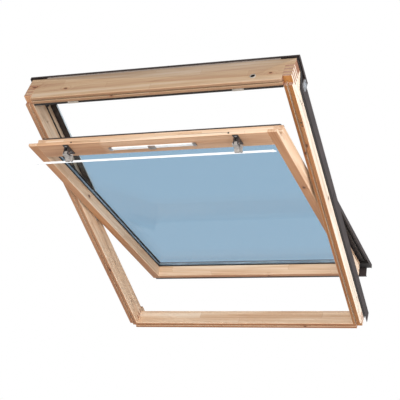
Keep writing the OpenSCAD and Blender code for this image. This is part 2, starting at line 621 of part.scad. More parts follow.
// ---- drawing ----
frame_top_rail();
frame_bottom_rail();
frame_left_jamb();
frame_right_jamb();
frame_gasket_left();
frame_gasket_right();
frame_top_seal();
seal_clips();
latch_keep();
cable_grommet();
side_seal_left();
side_seal_right();
upper_cover_left();
upper_cover_right();
lower_cover_left();
lower_cover_right();
top_hood();
hood_block();
hood_ends();
sill_cover();
pivot_plate_left();
pivot_plate_right();
pivot_pins();
frame_plate_screws();
cover_screws();
sash_top_rail();
sash_bottom_rail();
sash_left_stile();
sash_right_stile();
glazing_gasket();
glass_inner();
glass_spacer();
glass_outer();
bead_left();
bead_right();
sash_top_cover();
sash_bottom_cover();
sash_cover_left();
sash_cover_right();
sash_side_seals();
sash_end_blocks();
sash_bottom_seal();
sash_plate_left();
sash_plate_right();
sash_plate_screws();
lock_strip();
lock_clips();
lock_case();
bar_bracket_left();
bar_bracket_right();
bracket_screws();
bar_pins();
control_bar();
bar_end_caps();
bar_arm_left();
bar_arm_right();
bar_feet();
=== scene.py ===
# %% [markdown]
# # A centre-pivot pine roof window
# This lesson dresses a finished CAD model of a roof window. The CAD part already has every rail, stile, cover
# and hinge at its real size. What is left for Blender is the look: pine with its grain and knots, painted
# metal, rubber, glass, and a few small pieces: screws with a cross recess, plugs, a black tube of painted
# shade in a bore and two pale trims of painted highlight on the cover edges.
# We start by loading the frame.

# %% Load the CAD frame
import math

import bmesh
import bpy
from mathutils import Matrix, Vector


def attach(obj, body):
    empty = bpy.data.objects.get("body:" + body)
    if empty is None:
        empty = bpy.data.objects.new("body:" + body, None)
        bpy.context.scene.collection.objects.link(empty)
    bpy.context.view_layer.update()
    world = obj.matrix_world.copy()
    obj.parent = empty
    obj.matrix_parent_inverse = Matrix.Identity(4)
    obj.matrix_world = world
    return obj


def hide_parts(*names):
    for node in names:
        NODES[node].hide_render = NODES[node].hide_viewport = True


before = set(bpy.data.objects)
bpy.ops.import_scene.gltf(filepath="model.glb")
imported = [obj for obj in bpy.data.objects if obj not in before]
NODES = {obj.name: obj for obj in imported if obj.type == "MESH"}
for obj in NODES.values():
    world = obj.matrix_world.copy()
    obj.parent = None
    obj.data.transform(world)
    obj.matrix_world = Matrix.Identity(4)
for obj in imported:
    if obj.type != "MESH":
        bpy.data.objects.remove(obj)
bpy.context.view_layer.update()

# %% [markdown]
# ## Where things are
# The window lies in a roof of 41 degrees. It is easier to think of it standing
# upright: x to the right, y out through the roof and z up the slope, in millimetres
# from the middle of the room-side face. Two helpers turn such a place into the row
# frame, one for the fixed frame and one for the sash, which stands 19.5 degrees open.

# %% Placing helpers
MM = 0.001
ROOF_PITCH = 41.0
SASH_OPEN = 19.5
HALF_DEPTH = 36.0
HALF_WIDTH = 390.0
HALF_HEIGHT = 490.0
PIVOT_DEPTH = 86.0
SASH_TOP = 457.0
SASH_FACE = 33.0

lean = Matrix.Rotation(math.radians(90 - ROOF_PITCH), 4, "X")
lift = Matrix.Translation(Vector((0, -HALF_DEPTH, HALF_HEIGHT)) * MM)
FRAME_PLACE = lean @ lift
pivot = Matrix.Translation(Vector((0, PIVOT_DEPTH, 0)) * MM)
opening = Matrix.Rotation(math.radians(SASH_OPEN), 4, "X")
SASH_PLACE = FRAME_PLACE @ pivot @ opening @ pivot.inverted()


def on_frame(x, y, z):
    """A place on the upright frame, in mm, as a point of the row frame."""
    return FRAME_PLACE @ (Vector((x, y, z)) * MM)


def on_sash(x, y, z):
    """A place on the upright closed sash, in mm, as a point of the row frame."""
    return SASH_PLACE @ (Vector((x, y, z)) * MM)


print("middle of the window:", on_frame(0, 0, 0))

# %% [markdown]
# ## The camera
# The window is seen from low in the room, a little from the right, with a long lens.
# The camera is aimed along a direction, and the lens is given in millimetres on a
# 36 mm sensor.

# %% Camera
CAMERA_AT = Vector((1.21302, -3.49706, 0.02522))
CAMERA_LOOKS = Vector((-0.36294, 0.92668, 0.09765))

camera = bpy.data.objects.new("camera", bpy.data.cameras.new("camera"))
bpy.context.scene.collection.objects.link(camera)
camera.location = CAMERA_AT
camera.rotation_euler = CAMERA_LOOKS.to_track_quat("-Z", "Y").to_euler()
camera.data.sensor_width = 36.0
camera.data.lens = 102.35
bpy.context.scene.camera = camera
print("camera at", CAMERA_AT)

# %% [markdown]
# ## Colours and nodes
# Colours are written as sRGB hex values, as in a paint chart. The shader works with
# linear values, so one function turns them. A second small function adds a node with
# its settings and its links, which keeps each material short enough to read.

# %% Colour and node helpers


def linear(code, alpha=1.0):
    """An sRGB hex colour as linear red, green, blue and alpha."""
    parts = [int(code[i : i + 2], 16) / 255 for i in (1, 3, 5)]
    return tuple(c / 12.92 if c <= 0.04045 else ((c + 0.055) / 1.055) ** 2.4 for c in parts) + (alpha,)


def new_material(name):
    """An empty node material with its output and principled shader."""
    material = bpy.data.materials.new(name)
    material.use_nodes = True
    tree = material.node_tree
    tree.nodes.clear()
    out = tree.nodes.new("ShaderNodeOutputMaterial")
    skin = tree.nodes.new("ShaderNodeBsdfPrincipled")
    tree.links.new(skin.outputs[0], out.inputs[0])
    return material, tree, skin


def add(tree, kind, inputs=None, **settings):
    """Adds one node. Settings are its properties; inputs are values or sockets to link."""
    node = tree.nodes.new("ShaderNode" + kind)
    for key, value in settings.items():
        setattr(node, key, value)
    for key, value in (inputs or {}).items():
        socket = node.inputs[key]
        if isinstance(value, bpy.types.NodeSocket):
            tree.links.new(value, socket)
        else:
            socket.default_value = value
    return node


def ramp(tree, factor, stops, interpolation="LINEAR"):
    """A colour ramp from a list of (position, colour)."""
    node = add(tree, "ValToRGB", {"Fac": factor})
    node.color_ramp.interpolation = interpolation
    while len(node.color_ramp.elements) < len(stops):
        node.color_ramp.elements.new(0.5)
    for element, (place, colour) in zip(node.color_ramp.elements, stops):
        element.position = place
        element.color = colour
    return node


print("mid grey is", round(linear("#808080")[0], 3))

# %% [markdown]
# ## Pine
# The timber is laminated, finger-jointed pine under a clear matt varnish. Boards about
# 24 mm thick are glued face to face, and each board is made of shorter lengths joined
# end to end by a small zigzag. So neighbouring boards differ a little in tone, and a
# fine dark glue line runs between them. Pine has yearly rings about 3 mm apart, pale
# and soft with a thin orange line of late wood; they are drawn 7 mm apart here, which
# is as fine as a view of the whole window can show. Knots are dark red-brown, and the
# grain flows round them. All of it is drawn in the timber's own directions, so a
# Mapping node first turns the object's coordinates upright again.
# Three sets of tones are used: a middle one, a darker one for the top rail and a paler one for the right
# jamb. The darker set is painted shade, and the paler set is painted light on the jamb that faces the lamp on
# the right. They were chosen, as is the deeper orange of the faces that look into the room, which is painted
# shade as well.

# %% Pine material
FRAME_LEAN = -math.radians(90 - ROOF_PITCH)
SASH_LEAN = -math.radians(90 - ROOF_PITCH + SASH_OPEN)
PINE_TONES = ("#A57A58", "#C29C7C", "#D3B496", "#DFC8B1")
# painted shade and painted light: a darker set of tones for the top rail and a paler set for the right jamb,
# which faces the lamp on the right
SHADED_PINE_TONES = ("#8B674A", "#A38368", "#B19577", "#BBA58E")
LIT_PINE_TONES = ("#B4957A", "#CBB198", "#DAC7B3", "#E6D8C8")
BOARD_THICK = 24 * MM
BOARD_LONG = 410 * MM
RING_GAP = 7 * MM


def pine(name, along, lean_back, seed, knots=(), tones=PINE_TONES, end_dark=0.75, painted_room_shade=0.55):
    """Varnished pine with its grain along "X" or "Z" of the upright piece.

    knots are (x, y, z, radius) in mm from the middle of the room-side face. end_dark is how far end grain
    darkens, and the last argument how far the room-side faces turn a deeper orange, a painted shade, from 0
    to 1."""
    material, tree, skin = new_material(name)
    across = "X" if along == "Z" else "Z"
    where = add(tree, "TexCoord").outputs["Object"]
    centre = lean_back_centre(lean_back)
    upright = {"Vector": where, "Rotation": (lean_back, 0, 0), "Location": centre}
    turned = add(tree, "Mapping", upright).outputs[0]
    split = add(tree, "SeparateXYZ", {"Vector": turned})
    length, width, depth = split.outputs[along], split.outputs[across], split.outputs["Y"]

    # distance to the nearest knot, in knot radii
    near = None
    for x, y, z, radius in knots:
        middle = (x * MM, y * MM, z * MM)
        to_knot = add(tree, "VectorMath", {0: turned, 1: middle}, operation="SUBTRACT").outputs[0]
        stretch = (0.6, 1, 1) if along == "X" else (1, 1, 0.6)
        scale = [part / (radius * MM) for part in stretch]
        squeezed = add(tree, "VectorMath", {0: to_knot, 1: scale}, operation="MULTIPLY").outputs[0]
        distance = add(tree, "VectorMath", {0: squeezed}, operation="LENGTH").outputs["Value"]
        if near is None:
            near = distance
        else:
            near = add(tree, "Math", {0: near, 1: distance}, operation="MINIMUM").outputs[0]
    round_knot = {"Value": near, "From Min": 0.8, "From Max": 4.5, "To Min": 0.012, "To Max": 0.0}
    bend = add(tree, "MapRange", round_knot).outputs[0]

    # boards: one tone for each length of each layer
    layer = add(tree, "Math", {0: depth, 1: 1 / BOARD_THICK}, operation="MULTIPLY").outputs[0]
    layer_no = add(tree, "Math", {0: layer}, operation="FLOOR").outputs[0]
    zigzag = add(tree, "Math", {0: width, 1: 4 * MM}, operation="PINGPONG").outputs[0]
    zigzag = add(tree, "Math", {0: zigzag, 1: 2.6}, operation="MULTIPLY").outputs[0]
    slip = add(tree, "Math", {0: layer_no, 1: 0.137, 2: zigzag}, operation="MULTIPLY_ADD").outputs[0]
    run = add(tree, "Math", {0: length, 1: slip}, operation="ADD").outputs[0]
    run = add(tree, "Math", {0: run, 1: 1 / BOARD_LONG}, operation="MULTIPLY").outputs[0]
    board_no = add(tree, "Math", {0: run}, operation="FLOOR").outputs[0]
    board = add(tree, "CombineXYZ", {0: layer_no, 1: board_no, 2: float(seed)}).outputs[0]
    tone = add(tree, "TexWhiteNoise", {"Vector": board}, noise_dimensions="3D").outputs["Value"]

    # streaks and rings, stretched along the grain
    elsewhere = (seed * 0.37, seed * 0.73, seed * 0.19)
    shift = add(tree, "VectorMath", {0: turned, 1: elsewhere}, operation="ADD").outputs[0]
    long_scale = (0.045, 1, 1) if along == "X" else (1, 1, 0.045)
    drawn = add(tree, "Mapping", {"Vector": shift, "Scale": long_scale}).outputs[0]
    streaks = {"Vector": drawn, "Scale": 70.0, "Detail": 3.0, "Roughness": 0.55}
    streak = add(tree, "TexNoise", streaks).outputs[0]
    sway = add(tree, "TexNoise", {"Vector": drawn, "Scale": 22.0, "Detail": 1.0}).outputs[0]
    sway = add(tree, "Math", {0: sway, 1: 0.055, 2: bend}, operation="MULTIPLY_ADD").outputs[0]
    radial = add(tree, "Math", {0: width, 1: sway}, operation="ADD").outputs[0]
    radial = add(tree, "Math", {0: depth, 1: 0.45, 2: radial}, operation="MULTIPLY_ADD").outputs[0]
    radial = add(tree, "Math", {0: tone, 1: 0.05, 2: radial}, operation="MULTIPLY_ADD").outputs[0]
    ring = add(tree, "Math", {0: radial, 1: 1 / RING_GAP}, operation="MULTIPLY").outputs[0]
    ring = add(tree, "Math", {0: ring}, operation="FRACT").outputs[0]
    ring_stops = [(0.0, 0.0), (0.62, 0.25), (0.86, 1.0), (1.0, 0.0)]
    late = ramp(tree, ring, [(place, (grey, grey, grey, 1)) for place, grey in ring_stops])
    fibre_scale = (0.03, 1, 1) if along == "X" else (1, 1, 0.03)
    fibre_at = add(tree, "Mapping", {"Vector": shift, "Scale": fibre_scale}).outputs[0]
    fibre = add(tree, "TexNoise", {"Vector": fibre_at, "Scale": 900.0, "Detail": 2.0}).outputs[0]

    # tone of the wood: board, then streak, then the dark line of each ring
    shade = add(tree, "Math", {0: streak, 1: 1.0, 2: -0.02}, operation="MULTIPLY_ADD").outputs[0]
    shade = add(tree, "Math", {0: tone, 1: 0.26, 2: shade}, operation="MULTIPLY_ADD").outputs[0]
    shade = add(tree, "Math", {0: late.outputs[0], 1: -0.2, 2: shade}, operation="MULTIPLY_ADD").outputs[0]
    shade = add(tree, "Math", {0: fibre, 1: 0.12, 2: shade}, operation="MULTIPLY_ADD").outputs[0]
    stops = [(0.12 + 0.25 * i, linear(t)) for i, t in enumerate(tones)]
    wood = ramp(tree, shade, stops).outputs[0]

    # glue lines between boards, drawn 0.8 mm wide
    edge = add(tree, "Math", {0: layer}, operation="FRACT").outputs[0]
    edge = add(tree, "Math", {0: edge, 1: 0.5}, operation="PINGPONG").outputs[0]
    end = add(tree, "Math", {0: run}, operation="FRACT").outputs[0]
    end = add(tree, "Math", {0: end, 1: 0.5}, operation="PINGPONG").outputs[0]
    glue = add(tree, "Math", {0: edge, 1: 0.017}, operation="LESS_THAN").outputs[0]
    joint = add(tree, "Math", {0: end, 1: 0.0012}, operation="LESS_THAN").outputs[0]
    glue = add(tree, "Math", {0: glue, 1: joint}, operation="MAXIMUM").outputs[0]
    glue = add(tree, "Math", {0: glue, 1: 0.35}, operation="MULTIPLY").outputs[0]
    wood = add(tree, "MixRGB", {0: glue, 1: wood, 2: linear("#7A4A26")}).outputs[0]

    # knots: a dark heart and a browner ring
    ragged = add(tree, "TexNoise", {"Vector": turned, "Scale": 160.0, "Detail": 2.0}).outputs[0]
    near = add(tree, "Math", {0: ragged, 1: 0.7, 2: near}, operation="MULTIPLY_ADD").outputs[0]
    in_heart = {"Value": near, "From Min": 1.05, "From Max": 1.5, "To Min": 0.85, "To Max": 0.0}
    heart = add(tree, "MapRange", in_heart).outputs[0]
    in_halo = {"Value": near, "From Min": 1.3, "From Max": 2.6, "To Min": 0.38, "To Max": 0.0}
    halo = add(tree, "MapRange", in_halo).outputs[0]
    wood = add(tree, "MixRGB", {0: halo, 1: wood, 2: linear("#9A5A2A")}).outputs[0]
    wood = add(tree, "MixRGB", {0: heart, 1: wood, 2: linear("#4A2614")}).outputs[0]

    # end grain drinks the varnish, so faces across the grain are darker and redder
    faces = {"Vector": add(tree, "TexCoord").outputs["Normal"], "Rotation": (lean_back, 0, 0)}
    faces = add(tree, "Mapping", faces, vector_type="NORMAL").outputs[0]
    facing = add(tree, "SeparateXYZ", {"Vector": faces}).outputs[along]
    facing = add(tree, "Math", {0: facing}, operation="ABSOLUTE").outputs[0]
    across_grain = {"Value": facing, "From Min": 0.8, "From Max": 0.95, "To Max": end_dark}
    end_face = add(tree, "MapRange", across_grain).outputs[0]
    wood = add(tree, "MixRGB", {0: end_face, 1: wood, 2: linear("#7E4630")}).outputs[0]

    # painted shade: the faces that look into the room turn a deeper orange, for the warm shade they lie in
    to_room = add(tree, "SeparateXYZ", {"Vector": faces}).outputs["Y"]
    looks_in = {"Value": to_room, "From Min": -0.55, "From Max": -0.95, "To Min": 0.0, "To Max": painted_room_shade}
    to_room = add(tree, "MapRange", looks_in).outputs[0]
    orange = {0: to_room, 1: wood, 2: linear("#BC8A50")}
    wood = add(tree, "MixRGB", orange, blend_type="MULTIPLY").outputs[0]
    tree.links.new(wood, skin.inputs["Base Color"])

    rough = add(tree, "MapRange", {"Value": fibre, "To Min": 0.42, "To Max": 0.58}).outputs[0]
    tree.links.new(rough, skin.inputs["Roughness"])
    height = add(tree, "Math", {0: late.outputs[0], 1: 0.5, 2: fibre}, operation="MULTIPLY_ADD").outputs[0]
    bump = add(tree, "Bump", {"Height": height, "Strength": 0.25, "Distance": 0.0004}).outputs[0]
    tree.links.new(bump, skin.inputs["Normal"])
    skin.inputs["IOR"].default_value = 1.5
    return material


def lean_back_centre(angle):
    """Where the Mapping node puts the row frame's origin, in upright coordinates."""
    place = FRAME_PLACE if angle == FRAME_LEAN else SASH_PLACE
    return place.inverted().translation[:]


TOP_KNOTS = [(-368, 50, 490, 5), (-266, 33, 490, 3.5), (330, 30, 490, 3), (-120, 0, 478, 3)]
LEFT_KNOTS = [(-372, 0, -210, 4), (-390, 30, 40, 6)]
RIGHT_KNOTS = [(390, 28, 40, 4), (380, 0, 262, 4), (372, 0, 236, 3.5)]


def frame_pine(name, along, seed, knots, tones=PINE_TONES, painted_room_shade=0.55):
    """Pine of the fixed frame, whose comb joints show dark end grain."""
    return pine(name, along, FRAME_LEAN, seed, knots, tones, painted_room_shade=painted_room_shade)


def sash_pine(name, along, seed, knots, painted_room_shade=0.8):
    """Pine of the sash, whose end grain is sealed and stays pale."""
    return pine(name, along, SASH_LEAN, seed, knots, end_dark=0.2, painted_room_shade=painted_room_shade)


# painted shade and painted light are set per piece here: the darker and paler tone sets, and the strength of
# the orange painted shade on the room-side faces
PINE = {
    "frame_top_rail": frame_pine("pine_frame_top", "X", 3, TOP_KNOTS, SHADED_PINE_TONES, 0.4),
    "frame_bottom_rail": frame_pine("pine_frame_bottom", "X", 8, [(210, 0, -480, 3)], painted_room_shade=0.9),
    "frame_left_jamb": frame_pine("pine_frame_left", "Z", 5, LEFT_KNOTS, painted_room_shade=0.7),
    "frame_right_jamb": frame_pine("pine_frame_right", "Z", 11, RIGHT_KNOTS, LIT_PINE_TONES, 1.0),
    "sash_top_rail": sash_pine("pine_sash_top", "X", 14, [(90, 60, 415, 4)], 0.55),
    "sash_bottom_rail": sash_pine("pine_sash_bottom", "X", 17, [(60, 33, -456, 3)]),
    "sash_left_stile": sash_pine("pine_sash_left", "Z", 21, [(-332, 50, 120, 4)]),
    "sash_right_stile": sash_pine("pine_sash_right", "Z", 26, [(345, 33, 150, 4)]),
}
for node, material in PINE.items():
    NODES[node].data.materials.clear()
    NODES[node].data.materials.append(material)
    weld = NODES[node].modifiers.new("weld", "WELD")
    weld.merge_threshold = 0.00001
    ease = NODES[node].modifiers.new("eased_edges", "BEVEL")
    ease.width = 0.8 * MM
    ease.segments = 2
    ease.limit_method = "ANGLE"
    ease.angle_limit = math.radians(40)
    ease.use_clamp_overlap = False
    ease.harden_normals = False
print("pine pieces:", len(PINE))

# %% [markdown]
# ## Painted covers
# The covers outside are rolled aluminium sheet with a dark grey-brown baked paint. The
# coat is even, with a very fine texture and a little chalky weathering in patches.
# Paint is not a metal to the eye, so it is a plain coloured surface with a soft gloss.

# %% Painted metal


def weathered(name, dark, light, patch_mm, grit_mm, rough, metallic=0.0, bump_mm=0.03):
    """A plain surface with soft patches of tone and a fine grit."""
    material, tree, skin = new_material(name)
    where = add(tree, "TexCoord").outputs["Object"]
    patches = {"Vector": where, "Scale": 1 / (patch_mm * MM), "Detail": 4.0, "Roughness": 0.6}
    patch = add(tree, "TexNoise", patches).outputs[0]
    tint = ramp(tree, patch, [(0.3, linear(dark)), (0.7, linear(light))]).outputs[0]
    tree.links.new(tint, skin.inputs["Base Color"])
    grit = add(tree, "TexNoise", {"Vector": where, "Scale": 1 / (grit_mm * MM), "Detail": 2.0}).outputs[0]
    gloss = add(tree, "MapRange", {"Value": patch, "To Min": rough - 0.08, "To Max": rough + 0.08}).outputs[0]
    tree.links.new(gloss, skin.inputs["Roughness"])
    bump = add(tree, "Bump", {"Height": grit, "Strength": 0.3, "Distance": bump_mm * MM}).outputs[0]
    tree.links.new(bump, skin.inputs["Normal"])
    skin.inputs["Metallic"].default_value = metallic
    return material


def dress(material, *nodes):
    """Gives CAD nodes a material."""
    for node in nodes:
        NODES[node].data.materials.clear()
        NODES[node].data.materials.append(material)


cover_paint = weathered("baked_paint_umber", "#2C2423", "#3D3331", 60, 1.2, 0.55)
covers = [n for n in NODES if "cover" in n and "screws" not in n]
dress(cover_paint, *covers, "top_hood", "bead_left", "bead_right")
print("painted covers done")

# %% [markdown]
# ## Rubber, plastic and small hardware
# Gaskets are black EPDM rubber, dull with a faint bloom. The hood block is a closed foam. The small caps and
# grommets are grey moulded plastic. The arms of the bar are enamelled grey, and their brackets take a nearly
# black copy of the same enamel, a painted shade for their shaded sides and hollows. Hinges and screws are
# zinc-plated steel, with a fine brushed grain from polishing.

# %% Rubber and plastic
gasket_rubber = weathered("epdm_rubber", "#15100F", "#262120", 14, 0.8, 0.62)
dress(gasket_rubber, "frame_gasket_left", "frame_gasket_right", "frame_top_seal", "side_seal_left",
      "side_seal_right", "glazing_gasket", "sash_side_seals", "sash_end_blocks", "sash_bottom_seal",
      "bar_feet")
dress(weathered("closed_cell_foam", "#8F837A", "#A3978E", 5, 1.0, 0.8, bump_mm=0.3), "hood_block")
dress(weathered("grey_nylon", "#85888C", "#94979B", 20, 0.6, 0.5), "hood_ends")
dress(weathered("satin_grey_abs", "#8C8780", "#A39D95", 18, 0.6, 0.4), "seal_clips", "cable_grommet")
dress(weathered("white_abs", "#D8DADC", "#E4E6E8", 30, 0.5, 0.3), "bar_end_caps")
arm_enamel = weathered("grey_satin_enamel", "#7E7976", "#9F9A96", 6, 0.7, 0.4)
dress(arm_enamel, "bar_arm_left", "bar_arm_right")
# painted shade: the brackets take a nearly black copy of the arms' enamel for their shaded sides and hollows
bracket_shade_enamel = weathered("bracket_painted_shade", "#2B2625", "#3F3836", 6, 0.7, 0.4)
dress(bracket_shade_enamel, "bar_bracket_left", "bar_bracket_right")
bar_coat = weathered("white_powder_coat", "#DDE2E6", "#EEF1F4", 60, 0.7, 0.28, bump_mm=0.02)
dress(bar_coat, "control_bar", "lock_strip")
print("rubber and plastic done")

# %% Plated steel


def plated(name, dark, light, rough):
    """Zinc-plated steel with a fine brushed grain along x."""
    material, tree, skin = new_material(name)
    where = add(tree, "TexCoord").outputs["Object"]
    drawn = add(tree, "Mapping", {"Vector": where, "Scale": (0.08, 1, 1)}).outputs[0]
    brush = add(tree, "TexNoise", {"Vector": drawn, "Scale": 1200.0, "Detail": 2.0}).outputs[0]
    cloud = add(tree, "TexNoise", {"Vector": where, "Scale": 60.0, "Detail": 3.0}).outputs[0]
    tint = ramp(tree, cloud, [(0.3, linear(dark)), (0.7, linear(light))]).outputs[0]
    tree.links.new(tint, skin.inputs["Base Color"])
    gloss = add(tree, "MapRange", {"Value": brush, "To Min": rough - 0.1, "To Max": rough + 0.12}).outputs[0]
    tree.links.new(gloss, skin.inputs["Roughness"])
    bump = add(tree, "Bump", {"Height": brush, "Strength": 0.2, "Distance": 0.0001}).outputs[0]
    tree.links.new(bump, skin.inputs["Normal"])
    skin.inputs["Metallic"].default_value = 1.0
    return material


zinc = plated("zinc_plate", "#9C9DA0", "#C2C3C6", 0.34)
dress(zinc, "pivot_plate_left", "pivot_plate_right", "sash_plate_left", "sash_plate_right",
      "pivot_pins", "bar_pins", "latch_keep", "lock_clips", "frame_plate_screws", "cover_screws",
      "sash_plate_screws", "bracket_screws")
dress(plated("nickel_plate", "#8A8886", "#B4B2AF", 0.3), "lock_case")
spacer_metal = weathered("spacer_aluminium", "#B9BDC2", "#D2D6DA", 30, 0.8, 0.35, metallic=0.4)
dress(spacer_metal, "glass_spacer")
print("plated steel done")

# %% [markdown]
# ## Glass
# Two panes of clear float glass with a low-emissivity coat, which gives them a faint
# cool tint. Clear glass lets light through, so transmission is full and the roughness
# is almost none; a trace of dust is a soft change in roughness.
# Real glass bends light with an index of 1.5. Here it is 1.12, with a low specular
# level, and that is a choice of looks: with the real index a broad brown band lies
# across the pane, most likely the reflection of the frame.

# %% Glass material
float_glass, tree, skin = new_material("float_glass")
where = add(tree, "TexCoord").outputs["Object"]
dust = add(tree, "TexNoise", {"Vector": where, "Scale": 9.0, "Detail": 4.0}).outputs[0]
haze = add(tree, "MapRange", {"Value": dust, "To Min": 0.0, "To Max": 0.02}).outputs[0]
tree.links.new(haze, skin.inputs["Roughness"])
skin.inputs["Base Color"].default_value = linear("#E9F2F6")
skin.inputs["Transmission Weight"].default_value = 1.0
skin.inputs["IOR"].default_value = 1.12
skin.inputs["Specular IOR Level"].default_value = 0.15
dress(float_glass, "glass_inner", "glass_outer")
bare = [n for n, o in NODES.items() if not o.data.materials]
print("nodes without a finish:", bare)

# %% [markdown]
# ## Screws with a cross recess
# The CAD screws are plain pegs. A real wood screw has a low domed head with a cross
# recess that the driver bites into, and a pointed shank. One screw is modelled from a
# cylinder: the head's rim is bevelled, the shank is extruded from its underside, and a
# cross is cut out with a Boolean. The screw is then copied to every place, because the
# real ones come out of the same box too.

# %% Helpers for modelling in edit mode


def start_piece(name):
    """Names the primitive just added and opens it in edit mode with nothing selected."""
    piece = bpy.context.object
    piece.name = name
    bpy.ops.object.transform_apply(location=True, rotation=True, scale=True)
    bpy.ops.object.mode_set(mode="EDIT")
    bpy.ops.mesh.select_all(action="DESELECT")
    return piece


def pick(piece, kind, test):
    """Selects the faces or edges of the open piece whose place or normal passes the test."""
    bpy.ops.mesh.select_mode(type=kind)
    mesh = bmesh.from_edit_mesh(piece.data)
    for item in mesh.faces if kind == "FACE" else mesh.edges:
        item.select = bool(test(item))
    mesh.select_flush_mode()
    bmesh.update_edit_mesh(piece.data)


def apply_modifiers(piece):
    """Applies every modifier of a piece, as a modeller does before handing it on."""
    bpy.ops.object.select_all(action="DESELECT")
    piece.select_set(True)
    bpy.context.view_layer.objects.active = piece
    for modifier in list(piece.modifiers):
        bpy.ops.object.modifier_apply(modifier=modifier.name)


def copy_to(model, name, matrices):
    """Copies the model to each place, and joins the copies into one piece."""
    copies = []
    for matrix in matrices:
        twin = model.copy()
        twin.data = model.data.copy()
        twin.matrix_world = matrix
        bpy.context.scene.collection.objects.link(twin)
        copies.append(twin)
    bpy.ops.object.select_all(action="DESELECT")
    for twin in copies:
        twin.select_set(True)
    bpy.context.view_layer.objects.active = copies[0]
    if len(copies) > 1:
        bpy.ops.object.join()
    joined = bpy.context.object
    joined.name = name
    joined.data.name = name
    bpy.ops.object.transform_apply(location=True, rotation=True, scale=True)
    return joined


def finish_piece(piece, body, material):
    """Says which body a piece rides on and which finish it takes, and gives it that finish."""
    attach(piece, body)
    piece.data.materials.append(material)


print("helpers ready")

# %% One screw


POINT_LONG = 2.5


def cross_cutter(head_r, depth, top):
    """The plus-shaped block that cuts a recess of that depth, in mm, into a head."""
    arm_long, arm_wide = head_r * 1.1, head_r * 0.24
    bpy.ops.object.select_all(action="DESELECT")
    bpy.ops.mesh.primitive_cube_add(size=1, location=(0, 0, top * MM))
    bpy.context.object.scale = (arm_long * MM, arm_wide * MM, 2 * depth * MM)
    cutter = start_piece("cross_cutter")
    near_middle = arm_long * 0.17 * MM

    def in_middle(face):
        return face.normal.y * sign > 0.9 and abs(face.calc_center_median().x) < near_middle

    for sign in (1, -1):
        pick(cutter, "FACE", lambda f: f.normal.y * sign > 0.9)
        bpy.ops.mesh.subdivide(number_cuts=2)
        pick(cutter, "FACE", in_middle)
        reach = (0, sign * (arm_long - arm_wide) / 2 * MM, 0)
        bpy.ops.mesh.extrude_region_move(TRANSFORM_OT_translate={"value": reach})
    bpy.ops.object.mode_set(mode="OBJECT")
    return cutter


def cross_screw(head_r, head_high, shank_r, shank_long):
    """A screw along z: the head from 0 up, the shank below, with a cross recess."""
    bpy.ops.object.select_all(action="DESELECT")
    middle, high = (0, 0, head_high / 2 * MM), head_high * MM
    bpy.ops.mesh.primitive_cylinder_add(vertices=24, radius=head_r * MM, depth=high, location=middle)
    piece = start_piece("screw_model")
    pick(piece, "FACE", lambda f: f.normal.z < -0.9)
    bpy.ops.mesh.inset(thickness=(head_r - shank_r) * MM)
    for step in (shank_long - POINT_LONG, POINT_LONG):
        bpy.ops.mesh.extrude_region_move(TRANSFORM_OT_translate={"value": (0, 0, -step * MM)})
    bpy.ops.transform.resize(value=(0.15, 0.15, 1))
    bpy.ops.mesh.select_all(action="DESELECT")
    top = head_high * MM
    pick(piece, "EDGE", lambda e: all(v.co.z > top * 0.99 for v in e.verts))
    bpy.ops.mesh.bevel(offset=head_high * 0.45 * MM, segments=3)
    bpy.ops.object.mode_set(mode="OBJECT")

    cutter = cross_cutter(head_r, head_high * 0.7, head_high)
    cut = piece.modifiers.new("recess", "BOOLEAN")
    cut.object = cutter
    cut.operation = "DIFFERENCE"
    apply_modifiers(piece)
    bpy.data.objects.remove(cutter)
    return piece


def facing(point, direction, turn=20.0):
    """A matrix that puts a screw's head at the point, looking along the direction."""
    looks = direction.normalized().to_track_quat("Z", "Y").to_matrix().to_4x4()
    return Matrix.Translation(point) @ looks @ Matrix.Rotation(math.radians(turn), 4, "Z")


FRAME_OUT = FRAME_PLACE.to_3x3() @ Vector((0, 1, 0))
SASH_IN = SASH_PLACE.to_3x3() @ Vector((0, -1, 0))
print("outward direction of the frame:", FRAME_OUT)

# %% Place the screws
SHEET = 1.2
LOWER_LEVEL, UPPER_LEVEL = 72.0, 85.0
cover_rows = [(-HALF_HEIGHT + 60, LOWER_LEVEL), (-HALF_HEIGHT * 0.55, LOWER_LEVEL), (-60, LOWER_LEVEL),
              (60, UPPER_LEVEL), (HALF_HEIGHT * 0.5, UPPER_LEVEL), (HALF_HEIGHT - 105, UPPER_LEVEL)]
places = []
for side in (-1, 1):
    for row, (z, level) in enumerate(cover_rows):
        head = on_frame(side * (HALF_WIDTH - 6), level + SHEET, z)
        places.append(facing(head, FRAME_OUT, 17 * row))
model = cross_screw(3.2, 1.6, 1.75, 12)
cover_screws = copy_to(model, "cover_cross_screws", places)
bpy.data.objects.remove(model)
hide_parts("cover_screws")
finish_piece(cover_screws, "frame", zinc)

BRACKET_X, BRACKET_THICK = 245.0, 3.0
places = []
for side in (-1, 1):
    for below_top in (36, 7):
        head = on_sash(side * BRACKET_X, SASH_FACE - BRACKET_THICK, SASH_TOP - below_top)
        places.append(facing(head, SASH_IN, 25 * side))
model = cross_screw(3.0, 1.5, 1.75, 10)
bracket_screws = copy_to(model, "bracket_cross_screws", places)
bpy.data.objects.remove(model)
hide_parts("bracket_screws")
finish_piece(bracket_screws, "sash", zinc)
print("screw faces:", len(cover_screws.data.polygons), len(bracket_screws.data.polygons))

# %% [markdown]
# ## Dark plugs in the sash and the jambs
# Small holes in the timber are closed with dark plastic plugs that stand a little proud.
# Each is a short cylinder with its rim bevelled round, so it catches a small highlight.

# %% Plugs


